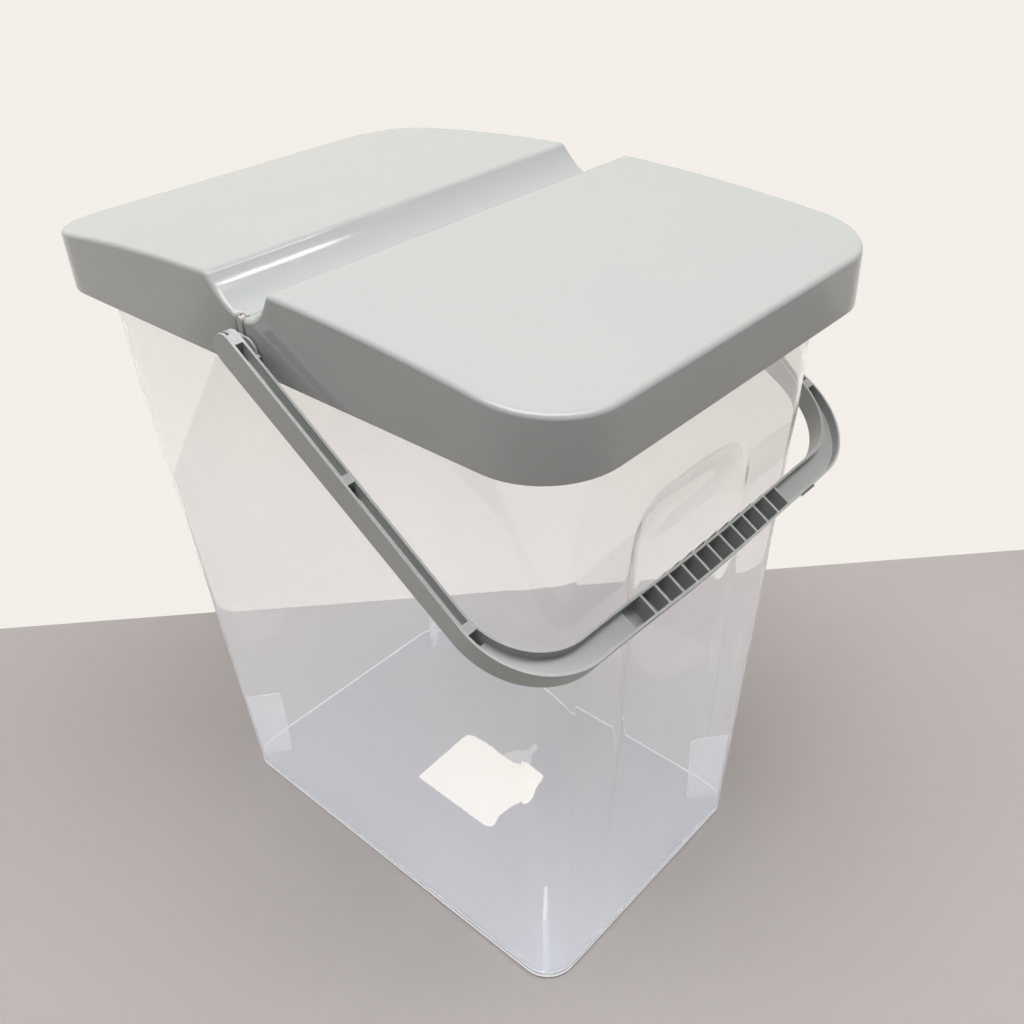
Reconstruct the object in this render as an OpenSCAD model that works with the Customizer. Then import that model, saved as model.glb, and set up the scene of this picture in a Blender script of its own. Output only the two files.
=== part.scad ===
// Rice bin with a flip lid: a tapered translucent bucket, a crowned lid in two halves that share
// a film hinge in a valley across the middle, and a bail handle that clips on two pivot posts.
// Origin: middle of the footprint. +Z up, X across, the flap and the hanging handle face -Y.

/* [Body] */
// Half width of the base across X
base_half_x = 80.7; // [74:0.1:84]
// Half depth of the base along Y
base_half_y = 122.9; // [116:0.1:126]
// Corner radius of the base and of the straight walls
wall_corner_r = 16; // [12:0.5:18]
// Height where the straight walls end and the mouth starts to flare
flare_start_z = 274; // [240:1:280]
// Wall thickness
wall = 1.8; // [1.4:0.1:2.4]
// Floor thickness
floor_t = 2.4; // [1.8:0.1:4]
// Sideways draft of the long walls, in degrees
draft_x = 2.23; // [1.6:0.01:2.6]
// Fore and aft draft of the short walls, in degrees
draft_y = 3.05; // [2.4:0.01:3.4]
// Depth of the foot recess under the floor
foot_recess = 0.8; // [0.3:0.1:1.2]

/* [Mouth] */
// Half width of the mouth across X, outside
mouth_half_x = 96.3; // [94:0.1:98]
// Half depth of the mouth along Y, outside
mouth_half_y = 143.2; // [141:0.1:145]
// Corner radius of the mouth
mouth_corner_r = 28; // [22:1:30]
// Height of the mouth's top edge
rim_top_z = 334.1; // [333:0.1:334.2]
// Gap between the rim's lip and the inside of the lid's skirt
rim_gap = 0.6; // [0.4:0.1:0.7]
// Height of the rim's turned-down lip
rim_lip_h = 9; // [5:0.5:14]

/* [Arched panels] */
// Half width of the sunk panel in the front and rear walls
panel_half_w = 40.4; // [34:0.2:50]
// Top of the panel's arch
panel_top_z = 273.5; // [240:0.5:280]
// Height where the panel's floor runs out into the wall
panel_end_z = 92; // [70:1:130]
// Depth of the panel at its arch
panel_depth = 4.6; // [2:0.1:6]
// Height of the sloping ledge under the arch
panel_ledge = 20; // [10:0.5:28]

/* [Corner fins] */
// Height of the fins' top
fin_top_z = 50; // [30:1:70]
// Length of a fin from the corner wall
fin_len = 18.6; // [12:0.2:22]
// Thickness of a fin at its top
fin_t_top = 1.6; // [1.2:0.1:2.4]
// Thickness of a fin at the floor
fin_t_base = 3.2; // [2.4:0.1:4]

/* [Lid] */
// Half width of the lid across X
lid_half_x = 106.4; // [106:0.1:107]
// Half depth of the lid along Y
lid_half_y = 154.7; // [154:0.1:156]
// Corner radius of the lid
lid_corner_r = 31.4; // [28:0.2:34]
// Height of the lid's crown, at the middle
crown_z = 350; // [349.5:0.1:350.5]
// Radius of the crown along Y
crown_r = 1031; // [900:1:1300]
// Height of the skirt's lower edge
skirt_bottom_z = 314.8; // [308:0.1:320]
// Thickness of the lid
lid_t = 1.6; // [1.2:0.1:2]
// Rounding between the lid's top and its skirt
lid_edge_r = 1.6; // [1:0.1:2.5]

/* [Valley and hinge] */
// Half distance between the two crests
crest_y = 18.5; // [17:0.1:20]
// Height of the valley's floor
valley_z = 336.1; // [336:0.1:337]
// Hinge line along Y
hinge_y = -1.2; // [-1.6:0.1:-1]
// Radius of the film hinge's bead
hinge_r = 0.4; // [0.3:0.05:0.5]
// Clearance between the bead and the flap's edge
hinge_gap = 0.3; // [0.2:0.05:0.4]
// Width of the slits in the skirt, one at each end of the hinge
slit_w = 4.9; // [4.5:0.1:5.5]

/* [Handle] */
// Height of the handle's pivot
pivot_z = 326.1; // [325.5:0.1:327]
// Angle at which the handle hangs in front, below the horizontal
hang_angle = 32.05; // [20:0.05:32.5]
// Half width of the handle at its pivot, outside
handle_half_w = 115.2; // [115:0.1:117]
// How far the arms spread out by the corners
handle_spread = 3.9; // [0:0.1:5]
// Reach from the pivot to the crossbar's outer face, at its corners
handle_reach = 177.7; // [176:0.1:182]
// Bow of the crossbar at its middle
handle_bow = 1.4; // [0:0.1:3]
// Outer corner radius of the handle
handle_corner_r = 37.8; // [34:0.2:44]
// Width of an arm, both flanges included
arm_w = 5.6; // [5.2:0.1:6.4]
// Width of the crossbar, both flanges included
bar_w = 11; // [9:0.1:14]
// Thickness of a flange
flange_t = 1; // [0.8:0.1:1.6]
// Depth of the arm at the pivot
depth_pivot = 13.1; // [11:0.1:15]
// Depth of the crossbar
depth_bar = 9.9; // [8:0.1:12]
// Number of ribs across the grip
grip_ribs = 12; // [6:1:16]
// Distance between two grip ribs
rib_pitch = 8.79; // [6:0.01:9]
// Thickness of a grip rib
rib_t = 1.1; // [0.8:0.1:1.5]

/* [Hidden] */

clear_plastic = [0.82, 0.85, 0.9, 0.35];
grey_plastic = [0.56, 0.58, 0.57];

eps = 0.02;
corner_fn = 72;

// Heights of the body's sections between the foot and the mouth
flare_mid_z = 294;
mouth_z = 318;
side_run = tan(draft_x);
front_run = tan(draft_y);

// The panel's cutter starts this far in front of the wall
panel_lead = 1;
panel_arch_rise = 30.5;

// Size of the rim, set by the inside of the skirt
rim_half_x = lid_half_x - lid_t - rim_gap;
rim_half_y = lid_half_y - lid_t - rim_gap;
rim_corner_r = lid_corner_r - lid_t - rim_gap;
rim_t = 2.2;
lip_top_z = rim_top_z - 1.6;

// Hinge bead and the edges that it joins
hinge_z = valley_z - hinge_r;
cover_edge_y = hinge_y + 0.2;
flap_edge_y = hinge_y - hinge_r - hinge_gap;
slit_back_y = flap_edge_y + slit_w;
slit_in_x = 103.2;

// Sealing rib under the lid, inside the mouth
seal_gap = 0.8;
seal_t = 1.4;
seal_bottom_z = 327.5;
seal_half_x = mouth_half_x - wall - seal_gap;
seal_half_y = mouth_half_y - wall - seal_gap;
seal_corner_r = mouth_corner_r - wall - seal_gap;

// Pivot posts and pins
pin_r = 2.5;
pin_clear = 0.05;
post_t = 2.9;
post_y = 0.2;
post_top_z = 336.5;
post_foot_z = 321.5;
post_in_x = rim_half_x - 1.4;
post_neck_x = slit_in_x + 1.1;
post_out_x = 106.8;
pin_root = 0.2;
pin_tip = 0.8;
pin_end_x = 113;

// Levels through the handle's depth, measured from the pivot's plane
bar_rise = 0.8;
arm_end = 8;
web_low = -0.9;
web_high = 0.9;
deep_low = -4.2;
deep_high = -3.05;
eye_len = 3.5;
pocket_len = 5;
lug_t = 0.9;
lug_in_x = 107.2;
lug_len = 12;
lug_w = 7;
lug_eye_r = 4.2;
lug_loop_r = 6;
lug_loop_e = 4.2;
block_gap_x = 113;
block_gap_e = -3;
block_w = 4;
arm_blocks = [68.9, 137.9];

function lerp(a, b, t) = a + (b - a) * t;
function bezier(p, t) =
    pow(1 - t, 3) * p[0] + 3 * t * pow(1 - t, 2) * p[1] + 3 * t * t * (1 - t) * p[2] + pow(t, 3) * p[3];
function reversed(v) = [for (i = [len(v) - 1:-1:0]) v[i]];

// ---- shared shapes ----

// Rectangle with true round corners
module rounded_rect(half_x, half_y, r) {
    square([2 * half_x, 2 * (half_y - r)], center = true);
    square([2 * (half_x - r), 2 * half_y], center = true);
    for (sx = [-1, 1], sy = [-1, 1])
        translate([sx * (half_x - r), sy * (half_y - r)])
            circle(r = r, $fn = corner_fn);
}

module slab(z, h, half_x, half_y, r) {
    translate([0, 0, z])
        linear_extrude(height = h)
            rounded_rect(half_x, half_y, r);
}

// Repeats a shape on the far side of a plane through the origin
module both_sides(v) {
    children();
    mirror(v) children();
}

// A stretch of tapered body between two sections, each [z, half x, half y, corner radius]
module loft(low, high, inset) {
    hull() {
        slab(low[0], eps, low[1] - inset, low[2] - inset, low[3] - inset);
        slab(high[0] - eps, eps, high[1] - inset, high[2] - inset, high[3] - inset);
    }
}

// ---- body ----

function straight_section(z, r) =
    [z, base_half_x + side_run * z, base_half_y + front_run * z, r];

foot_section = straight_section(0, wall_corner_r);
neck_section = straight_section(flare_start_z, wall_corner_r);
flare_section = straight_section(flare_mid_z, lerp(wall_corner_r, mouth_corner_r, 0.35)) + [0, 0.4, 0.4, 0];
mouth_section = [mouth_z, mouth_half_x, mouth_half_y, mouth_corner_r];

// The bucket's outer form, or with an inset its hollow
module bucket(inset) {
    loft(foot_section, neck_section, inset);
    loft(neck_section, flare_section, inset);
    loft(flare_section, mouth_section, inset);
    slab(mouth_z - eps, rim_top_z - mouth_z + eps, mouth_half_x - inset, mouth_half_y - inset,
        mouth_corner_r - inset);
}

// Arch outline: upright legs with a shallow arch whose shoulders are round
module arch_outline(half_w, top, rise) {
    sharpness = 2 / 3;
    polygon(concat(
        [[-half_w, 0], [half_w, 0]],
        [for (a = [0:6:180]) [
            half_w * sign(cos(a)) * pow(abs(cos(a)), sharpness),
            top - rise + rise * pow(sin(a), sharpness)]]));
}

// Sunk panel of the front wall. Its floor is more upright than the wall, so that it runs out
// below, and its rim slopes most under the arch. A skin moves every face inwards.
module front_panel(skin) {
    panel_h = (panel_top_z - panel_end_z) / cos(draft_y);
    cut_depth = panel_depth + skin + panel_lead;
    ledge_share = panel_ledge * cut_depth / panel_depth / panel_h;
    floor_tilt = draft_y - atan(panel_depth / (panel_h - panel_ledge));
    wall_y = -base_half_y - front_run * panel_end_z;
    intersection() {
        translate([0, wall_y, panel_end_z])
            rotate([90 + draft_y, 0, 0])
                mirror([0, 0, 1])
                    translate([0, 0, -panel_lead])
                        linear_extrude(height = cut_depth + panel_lead, scale = [0.985, 1 - ledge_share],
                            slices = 1)
                            arch_outline(panel_half_w + skin, panel_h + skin, panel_arch_rise);
        translate([-panel_half_w * 2, wall_y + skin, panel_end_z])
            rotate([floor_tilt, 0, 0])
                translate([0, -40, 0])
                    cube([panel_half_w * 4, 40, panel_h * 1.3]);
    }
}

module body_shell() {
    color(clear_plastic) {
        difference() {
            union() {
                bucket(0);
                rim_flange();
            }
            both_sides([0, 1, 0]) front_panel(0);
            hollow();
            slab(-1, 1 + foot_recess, base_half_x - 6, base_half_y - 6, wall_corner_r - 6);
        }
    }
}

// Inside of the bucket, open at the top, with the panels' backs standing into it
module hollow() {
    difference() {
        intersection() {
            union() {
                bucket(wall);
                slab(rim_top_z - 1, 2, mouth_half_x - wall, mouth_half_y - wall, mouth_corner_r - wall);
            }
            translate([-150, -200, floor_t])
                cube([300, 400, 400]);
        }
        both_sides([0, 1, 0]) front_panel(wall);
    }
}

// Outward rim with a turned-down lip, which the lid's skirt covers
module rim_flange() {
    slab(lip_top_z - rim_t, rim_t, rim_half_x, rim_half_y, rim_corner_r);
    difference() {
        slab(lip_top_z - rim_lip_h, rim_lip_h, rim_half_x, rim_half_y, rim_corner_r);
        slab(lip_top_z - rim_lip_h - 1, rim_lip_h + 0.5, rim_half_x - wall, rim_half_y - wall,
            rim_corner_r - wall);
    }
}

// Upright fin in each lower corner, which keeps nested buckets from jamming
module corner_fins() {
    diagonal = atan2(12.5, 15.5);
    arc_x = base_half_x - wall_corner_r;
    arc_y = base_half_y - wall_corner_r;
    lean = side_run * cos(diagonal) + front_run * sin(diagonal);
    wall_s = wall_corner_r - wall / 2;
    inner_s = wall_s - fin_len;
    color(clear_plastic)
        both_sides([1, 0, 0])
            both_sides([0, 1, 0])
                translate([arc_x, -arc_y, 0])
                    rotate([0, 0, -diagonal])
                        intersection() {
                            rotate([90, 0, 0])
                                translate([0, 0, -fin_t_base])
                                    linear_extrude(height = 2 * fin_t_base)
                                        fin_side(inner_s, wall_s, lean);
                            rotate([90, 0, 90])
                                translate([0, 0, inner_s - 1])
                                    linear_extrude(height = fin_len + 8)
                                        fin_section();
                        }
}

// Side of a fin: the outer edge follows the corner's draft, the inner top corner is round
module fin_side(inner_s, wall_s, lean) {
    round_r = 3;
    foot_z = floor_t - 0.4;
    polygon([
        [inner_s, foot_z],
        [wall_s + lean * foot_z, foot_z],
        [wall_s + lean * fin_top_z, fin_top_z],
        [inner_s + round_r, fin_top_z],
        [inner_s, fin_top_z - round_r]]);
    translate([inner_s + round_r, fin_top_z - round_r])
        circle(r = round_r, $fn = 48);
}

// Wedge section of a fin, thin at its top
module fin_section() {
    polygon([
        [-fin_t_base / 2, 0],
        [fin_t_base / 2, 0],
        [fin_t_top / 2, fin_top_z + 1],
        [-fin_t_top / 2, fin_top_z + 1]]);
}

// A post at the middle of each long side, with the pin that the handle turns on
module pivot_posts() {
    color(clear_plastic)
        both_sides([1, 0, 0]) {
            intersection() {
                translate([post_in_x, 0, 0])
                    rotate([90, 0, 90])
                        linear_extrude(height = post_out_x - post_in_x)
                            post_face();
                translate([0, post_y + post_t / 2 + 1, 0])
                    rotate([90, 0, 0])
                        linear_extrude(height = post_t + 2)
                            post_side();
            }
            translate([post_out_x - pin_root, 0, pivot_z])
                rotate([0, 90, 0])
                    cylinder(r = pin_r, h = pin_end_x - pin_tip - post_out_x + pin_root, $fn = 64);
            translate([pin_end_x - pin_tip, 0, pivot_z])
                rotate([0, 90, 0])
                    cylinder(r1 = pin_r, r2 = pin_r - 0.7, h = pin_tip, $fn = 64);
        }
}

// Post seen along X: a narrow strip with a round top, as wide as the slit lets through
module post_face() {
    translate([post_y - post_t / 2, post_foot_z])
        square([post_t, post_top_z - post_t / 2 - post_foot_z]);
    translate([post_y, post_top_z - post_t / 2])
        circle(r = post_t / 2, $fn = 48);
}

// Post seen along Y: a bracket that leans out from the rim, with a neck that clears the slit
module post_side() {
    polygon([
        [post_in_x, post_foot_z],
        [post_out_x - 1.2, post_foot_z],
        [post_out_x, post_foot_z + 1.2],
        [post_out_x, post_top_z],
        [post_neck_x, post_top_z],
        [post_neck_x, lip_top_z],
        [post_in_x, lip_top_z]]);
}

// Torn paper label left on the floor of the bin
module paper_remnant() {
    color([0.93, 0.91, 0.84])
        translate([0, 0, floor_t])
            linear_extrude(height = 0.3)
                polygon([[-28, 26], [18, 29], [19, 4], [37, -6], [25, -11], [20, -29], [0, -34], [-13, -31],
                    [-26, -31], [-29, -2]]);
}

// ---- lid ----

// Part of the crowned lid below the crown surface, lowered by drop, inside an outline
module crowned_layer(inset, drop) {
    intersection() {
        slab(skirt_bottom_z, crown_z - skirt_bottom_z + 2, lid_half_x - inset, lid_half_y - inset,
            lid_corner_r - inset);
        translate([0, 0, crown_z - crown_r])
            rotate([0, 90, 0])
                cylinder(r = crown_r - drop, h = 2 * lid_half_x + 2, center = true, $fn = 480);
    }
}

// The lid's outer form before the valley, with its rounded top edge
module lid_block() {
    hull() {
        crowned_layer(0, lid_edge_r);
        crowned_layer(lid_edge_r * (1 - cos(30)), lid_edge_r * (1 - sin(30)));
        crowned_layer(lid_edge_r * (1 - cos(60)), lid_edge_r * (1 - sin(60)));
        crowned_layer(lid_edge_r, 0);
    }
}

rear_curve = [[crest_y, crown_z - 0.9], [12, 340.5], [6, 337.2], [0, valley_z]];
front_curve = [[-3, valley_z], [-8, valley_z + 0.3], [-13.5, 339.2], [-crest_y, crown_z - 0.9]];
valley_steps = 8;

// Section of the valley between the crests, open above
module valley_section() {
    crest_top = crown_z + 4;
    polygon(concat(
        [[crest_y + 1, crest_top], [crest_y + 1, crown_z - 0.15], [crest_y + 0.35, crown_z - 0.35]],
        [for (i = [0:valley_steps]) bezier(rear_curve, i / valley_steps)],
        [for (i = [0:valley_steps]) bezier(front_curve, i / valley_steps)],
        [[-crest_y - 0.35, crown_z - 0.35], [-crest_y - 1, crown_z - 0.15], [-crest_y - 1, crest_top]]));
}

// The valley's space, widened by the lid's thickness for the lid's inside
module valley_space(grow) {
    rotate([90, 0, 90])
        translate([0, 0, -lid_half_x - 1])
            linear_extrude(height = 2 * lid_half_x + 2)
                offset(delta = grow)
                    valley_section();
}

// Everything of the lid's crown and skirt, both halves in one, open below
module lid_shell() {
    difference() {
        lid_block();
        difference() {
            translate([0, 0, -1])
                hull() {
                    crowned_layer(lid_t, lid_t - 1);
                    translate([0, 0, -4])
                        crowned_layer(lid_t, lid_t - 1);
                }
            valley_space(lid_t);
        }
        valley_space(0);
    }
}

// Rib under the lid that stands inside the mouth, cut to the space below the crown
module seal_rib() {
    difference() {
        intersection() {
            difference() {
                slab(seal_bottom_z, 25, seal_half_x, seal_half_y, seal_corner_r);
                slab(seal_bottom_z - 1, 27, seal_half_x - seal_t, seal_half_y - seal_t, seal_corner_r - seal_t);
            }
            crowned_layer(lid_t, lid_t / 2);
        }
        valley_space(lid_t / 2);
    }
}

// Keeps one half of what it is given: from a plane along Y, to the front or to the rear
module half_lid(edge_y, side) {
    intersection() {
        children();
        translate([-lid_half_x - 5, side > 0 ? edge_y : edge_y - 200, skirt_bottom_z - 20])
            cube([2 * lid_half_x + 10, 200, 100]);
    }
}

// Slit at each end of the hinge, which lets the pivot post pass when the lid is lifted off
module post_slits() {
    slit_mid_y = slit_back_y - slit_w / 2;
    both_sides([1, 0, 0]) {
        translate([slit_in_x + slit_w / 2, slit_mid_y, skirt_bottom_z - 1])
            cylinder(d = slit_w, h = 30, $fn = 48);
        translate([slit_in_x + slit_w / 2, slit_mid_y - slit_w / 2, skirt_bottom_z - 1])
            cube([10, slit_w, 30]);
    }
}

module rear_cover() {
    color(grey_plastic)
        difference() {
            half_lid(cover_edge_y, 1) {
                lid_shell();
                half_lid(4, 1) seal_rib();
            }
            post_slits();
        }
}

// Bead that stands for the thin film between the two halves
module living_hinge() {
    color(grey_plastic)
        translate([0, hinge_y, hinge_z])
            rotate([0, 90, 0])
                cylinder(r = hinge_r, h = 2 * slit_in_x - 1, center = true, $fn = 32);
}

module flip_flap() {
    color(grey_plastic)
        half_lid(flap_edge_y, -1) {
            lid_shell();
            half_lid(-8, -1) seal_rib();
        }
}

// ---- handle ----

// One line of the handle in its own plane, from the right arm's end round to the left one's.
// half_w is its half width at the pivot, reach its distance at the corners, r its corner radius.
function bail_line(half_w, reach, r, start) = let(
        corner_w = half_w + handle_spread,
        right = concat(
            [[half_w, start]],
            [for (a = [0:9:90]) [corner_w - r + r * cos(a), -(reach - r) - r * sin(a)]],
            [for (t = [0.2:0.2:0.8]) lerp(corner_w - r, 0, t) * [1, 0]
                - [0, reach + handle_bow * (1 - cos(180 * t)) / 2]]))
    concat(right, [[0, -reach - handle_bow]], reversed([for (p = right) [-p[0], p[1]]]));

// Flat band between two such lines, drawn from low to high through the handle's depth
module bail_band(outer, inner, low, high) {
    translate([0, 0, low])
        linear_extrude(height = high - low)
            polygon(concat(outer, reversed(inner)));
}

outer_r = handle_corner_r;
inner_half_w = handle_half_w - arm_w;
inner_reach = handle_reach - bar_w;
inner_r = outer_r - arm_w;
grip_half = rib_pitch * (grip_ribs - 1) / 2;

// Distance of an arm's line from the middle, at a distance e from the pivot
function arm_x(half_w, e) = half_w + handle_spread * (e + arm_end) / (arm_end + handle_reach - outer_r);

function outer_line(d, start) = bail_line(handle_half_w - d, handle_reach - d, outer_r - d, start);
function inner_line(d, start) = bail_line(inner_half_w + d, inner_reach + d, inner_r + d, start);

// Side view of the whole handle, deepest at the pivot with a round end
module bail_side() {
    top_bar = bar_rise + depth_bar / 2;
    low_bar = bar_rise - depth_bar / 2;
    bend = handle_reach - outer_r;
    far = handle_reach + 10;
    polygon([
        [0, depth_pivot / 2], [0, -depth_pivot / 2], [-bend, low_bar],
        [-far, low_bar], [-far, top_bar], [-bend, top_bar]]);
    circle(d = depth_pivot, $fn = 72);
}

module bail_side_solid() {
    rotate([90, 0, 90])
        translate([0, 0, -handle_half_w - handle_spread - 5])
            linear_extrude(height = 2 * (handle_half_w + handle_spread) + 10)
                bail_side();
}

module web_band(low, high) {
    bail_band(outer_line(flange_t / 2, -eye_len), inner_line(flange_t / 2, -eye_len), low, high);
}

// Where the web lies deep: behind the eye and each block, and under the grip with one cell more
module deep_zones() {
    for (e = concat([eye_len], [for (b = arm_blocks) b + block_w]))
        translate([-handle_half_w * 2, -e - pocket_len, deep_low - 1])
            cube([handle_half_w * 4, pocket_len, web_high - deep_low + 2]);
    translate([-grip_half - rib_pitch, -handle_reach - handle_bow, deep_low - 1])
        cube([2 * grip_half + rib_pitch, bar_w + handle_bow, web_high - deep_low + 2]);
}

// The two flanges, the web between them and the blocks across the arms
module bail_frame() {
    bail_band(outer_line(0, arm_end), outer_line(flange_t, arm_end), -12, 16);
    bail_band(inner_line(flange_t, arm_end), inner_line(0, arm_end), -12, 16);
    difference() {
        web_band(web_low, web_high);
        deep_zones();
    }
    intersection() {
        web_band(deep_low, deep_high);
        deep_zones();
    }
    both_sides([1, 0, 0]) {
        for (e = arm_blocks)
            translate([arm_x(inner_half_w, e) + flange_t / 2, -e - block_w, -12])
                cube([arm_w - flange_t, block_w, 28]);
        translate([inner_half_w + flange_t / 2, -eye_len, -12])
            cube([arm_w - flange_t, eye_len + arm_end, 28]);
    }
}

// Thin ribs across the grip, between the two flanges of the crossbar
module grip_cells() {
    top = bar_rise + depth_bar / 2 - 0.3;
    low = bar_rise - depth_bar / 2 + 0.3;
    for (i = [0:grip_ribs - 1])
        translate([i * rib_pitch - grip_half - rib_t / 2, -inner_reach - bar_w - handle_bow / 2, low])
            cube([rib_t, bar_w - flange_t + handle_bow / 2, top - low]);
}

// Thin lug inside each arm's end, tied to the arm below its eye
module inner_lug() {
    translate([lug_in_x, 0, 0]) {
        rotate([90, 0, 90])
            linear_extrude(height = lug_t) {
                circle(r = lug_eye_r, $fn = 48);
                translate([-lug_loop_e, 0])
                    circle(r = lug_loop_r, $fn = 72);
                translate([-lug_len, -lug_w / 2])
                    square([lug_len, lug_w]);
            }
        translate([0, -lug_len, -lug_w / 2])
            cube([inner_half_w - lug_in_x + 0.8, 1.4, lug_w]);
    }
}

module carry_handle() {
    color(grey_plastic)
        translate([0, 0, pivot_z])
            rotate([hang_angle, 0, 0])
                difference() {
                    union() {
                        intersection() {
                            union() {
                                bail_frame();
                                grip_cells();
                            }
                            bail_side_solid();
                        }
                        both_sides([1, 0, 0]) inner_lug();
                        both_sides([1, 0, 0]) rest_nub();
                    }
                    both_sides([1, 0, 0]) eye_cuts();
                }
}

// Small nub on the crossbar's outer edge
module rest_nub() {
    translate([66, -handle_reach - 1, -2])
        cube([8, 1.6, 3]);
}

// Blind bore for the pin, and the groove that frees the outer plate at the arm's end
module eye_cuts() {
    translate([lug_in_x - 1, 0, 0])
        rotate([0, 90, 0])
            cylinder(r = pin_r + pin_clear, h = pin_end_x - lug_in_x + 1.2, $fn = 64);
    translate([block_gap_x, -block_gap_e, -10])
        cube([1.1, 20, 20]);
}

body_shell();
corner_fins();
pivot_posts();
paper_remnant();
rear_cover();
living_hinge();
flip_flap();
carry_handle();
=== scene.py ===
import math
import random

import bmesh
import bpy
from mathutils import Matrix, Quaternion, Vector


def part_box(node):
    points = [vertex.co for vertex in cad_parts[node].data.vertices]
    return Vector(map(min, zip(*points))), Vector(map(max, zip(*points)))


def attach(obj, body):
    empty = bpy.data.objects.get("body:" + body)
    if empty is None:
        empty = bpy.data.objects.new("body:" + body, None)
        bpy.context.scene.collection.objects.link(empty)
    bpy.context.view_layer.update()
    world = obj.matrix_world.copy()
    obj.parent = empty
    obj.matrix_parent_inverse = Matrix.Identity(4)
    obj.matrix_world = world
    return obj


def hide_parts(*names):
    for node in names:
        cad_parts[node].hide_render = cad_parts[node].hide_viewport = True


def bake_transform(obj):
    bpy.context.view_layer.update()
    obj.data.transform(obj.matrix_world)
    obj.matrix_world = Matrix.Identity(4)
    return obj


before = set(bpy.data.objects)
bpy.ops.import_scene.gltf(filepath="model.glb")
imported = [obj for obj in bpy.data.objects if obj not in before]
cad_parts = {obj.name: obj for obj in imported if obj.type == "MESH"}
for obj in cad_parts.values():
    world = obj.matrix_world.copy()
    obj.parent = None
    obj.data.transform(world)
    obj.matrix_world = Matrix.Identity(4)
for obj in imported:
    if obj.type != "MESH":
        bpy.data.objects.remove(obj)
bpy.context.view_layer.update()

mm = 0.001
scene = bpy.context.scene
print("frame loaded:", len(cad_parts), "nodes")


viewSetup = {
    "place": (-0.3104, -0.3299, 0.4951),
    "aim": (0.6012, 0.5721, -0.5579),
    "roll": 2.694,
    "lens": 37.645,
    "sensor": 36,
    "clip": (0.02, 40),
}


def makeCamera(s):
    data = bpy.data.cameras.new("camera")
    data.lens = s["lens"]
    data.sensor_width = s["sensor"]
    data.clip_start, data.clip_end = s["clip"]
    camera = bpy.data.objects.new("camera", data)
    scene.collection.objects.link(camera)
    camera.location = s["place"]
    camera.rotation_mode = "QUATERNION"
    turn = Quaternion((0, 0, 1), math.radians(-s["roll"]))
    camera.rotation_quaternion = Vector(s["aim"]).to_track_quat("-Z", "Y") @ turn
    scene.camera = camera


makeCamera(viewSetup)
scene.view_settings.view_transform = "Standard"


# new node with its properties and its sockets' values given by name
def addNode(tree, kind, **values):
    node = tree.nodes.new(kind)
    for key, value in values.items():
        if hasattr(node, key):
            setattr(node, key, value)
        else:
            node.inputs[key].default_value = value
    return node


# mix of two colours, each a socket or three numbers; sockets 6 and 7 are the node's colours
def mixColours(tree, factor, low, high):
    node = tree.nodes.new("ShaderNodeMix")
    node.data_type = "RGBA"
    for socket, value in ((node.inputs[0], factor), (node.inputs[6], low), (node.inputs[7], high)):
        if isinstance(value, bpy.types.NodeSocket):
            tree.links.new(value, socket)
        else:
            socket.default_value = (*value, 1)
    return node.outputs[2]


# one shader where the mask is 0 and another where it is 1
def mixShaders(tree, mask, first, second):
    mixed = addNode(tree, "ShaderNodeMixShader")
    for k, output in enumerate((mask, first, second)):
        tree.links.new(output, mixed.inputs[k])
    return mixed.outputs[0]


def rangeOf(tree, value, fromMin, fromMax, toMin=0, toMax=1):
    node = tree.nodes.new("ShaderNodeMapRange")
    tree.links.new(value, node.inputs[0])
    for i, number in enumerate((fromMin, fromMax, toMin, toMax)):
        node.inputs[i + 1].default_value = number
    return node.outputs[0]


# node group whose sockets are all plain numbers
def newGroup(name, inputs, outputs):
    group = bpy.data.node_groups.new(name, "ShaderNodeTree")
    for label, value in inputs.items():
        socket = group.interface.new_socket(label, in_out="INPUT", socket_type="NodeSocketFloat")
        socket.default_value = value
    for label in outputs:
        group.interface.new_socket(label, in_out="OUTPUT", socket_type="NodeSocketFloat")
    return group, group.nodes.new("NodeGroupInput").outputs, group.nodes.new("NodeGroupOutput").inputs


def useGroup(tree, group, **values):
    node = tree.nodes.new("ShaderNodeGroup")
    node.node_tree = group
    for key, value in values.items():
        node.inputs[key].default_value = value
    return node


def newMaterial(name):
    material = bpy.data.materials.new(name)
    material.use_nodes = True
    tree = material.node_tree
    return material, tree, tree.nodes["Principled BSDF"]


# fine bumps on a surface, from a height's socket
def addBump(tree, shader, height, strength, distance):
    bump = addNode(tree, "ShaderNodeBump", Strength=strength, Distance=distance)
    tree.links.new(height, bump.inputs["Height"])
    tree.links.new(bump.outputs[0], shader.inputs["Normal"])


skinSetup = {
    "inputs": {"Grain": 900.0, "Wave": 16.0, "GrainShare": 0.3},
    "grain": {"Detail": 3.0, "Roughness": 0.6},
    "wave": {"Detail": 2.0, "Roughness": 0.45},
    "cloud": {"Scale": 9.0, "Detail": 5.0, "Roughness": 0.6},
    "cloudRange": (0.3, 0.7),
}


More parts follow.
